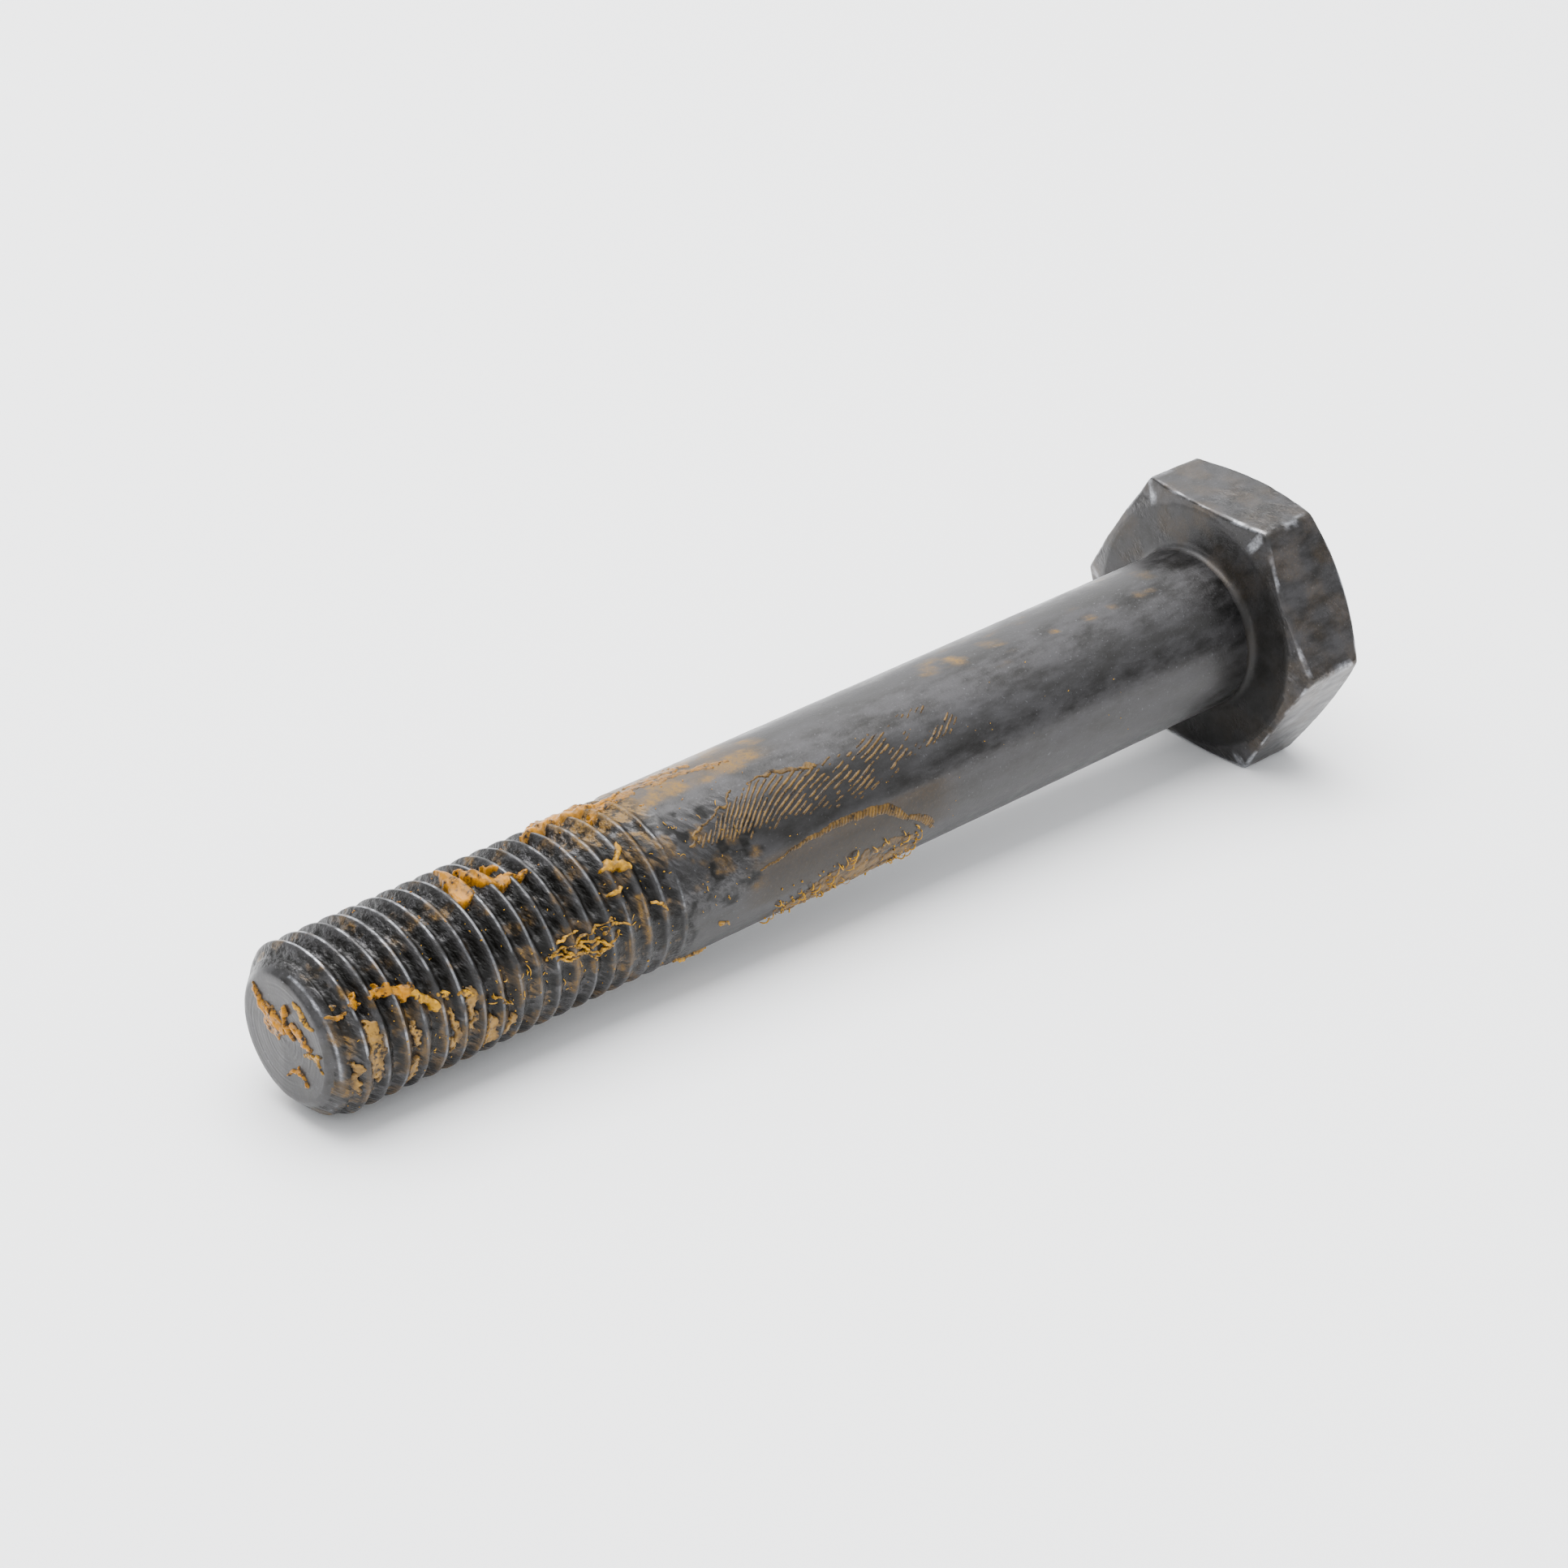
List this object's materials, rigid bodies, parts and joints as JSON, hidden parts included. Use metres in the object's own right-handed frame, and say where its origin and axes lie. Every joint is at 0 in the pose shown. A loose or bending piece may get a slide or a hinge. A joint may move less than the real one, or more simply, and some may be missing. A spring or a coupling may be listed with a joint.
{
  "type": "hex bolt",
  "caption": "Greasy black hexagon bolt with a washer-faced head, plain shank and coarse right-hand thread with a chamfered point.",
  "frame": {"origin": "centre of the round bearing face under the head, on the bolt's axis", "axes": "+X along the shank to the threaded point; +Z square to a flat of the hexagon, so the head lies on the flat that faces -Z"},
  "size_m": [0.1188, 0.0304, 0.0264],
  "materials": {
    "steel": "blackened, satin, worn bright on the thread crests",
    "grease": "amber lithium grease with dirt in it"
  },
  "bodies": {
    "root": {"bolt": "steel", "grease_crest_smear": "grease", "grease_crest_lump": "grease", "grease_drip_lump": "grease", "grease_string_clump": "grease", "grease_runout_clump": "grease", "grease_back_ridge": "grease", "grease_top_streak": "grease", "grease_under_drip": "grease", "grease_print_film": "grease", "grease_wipe_edge": "grease", "grease_under_smear": "grease", "grease_groove_strip_front": "grease", "grease_groove_strip_second": "grease", "grease_groove_strip_third": "grease", "grease_groove_strip_fourth": "grease", "grease_point_lump": "grease", "grease_point_ridge": "grease", "grease_point_speck": "grease", "grease_point_rim_dab": "grease", "grease_point_low_dab": "grease"}
  },
  "joints": []
}
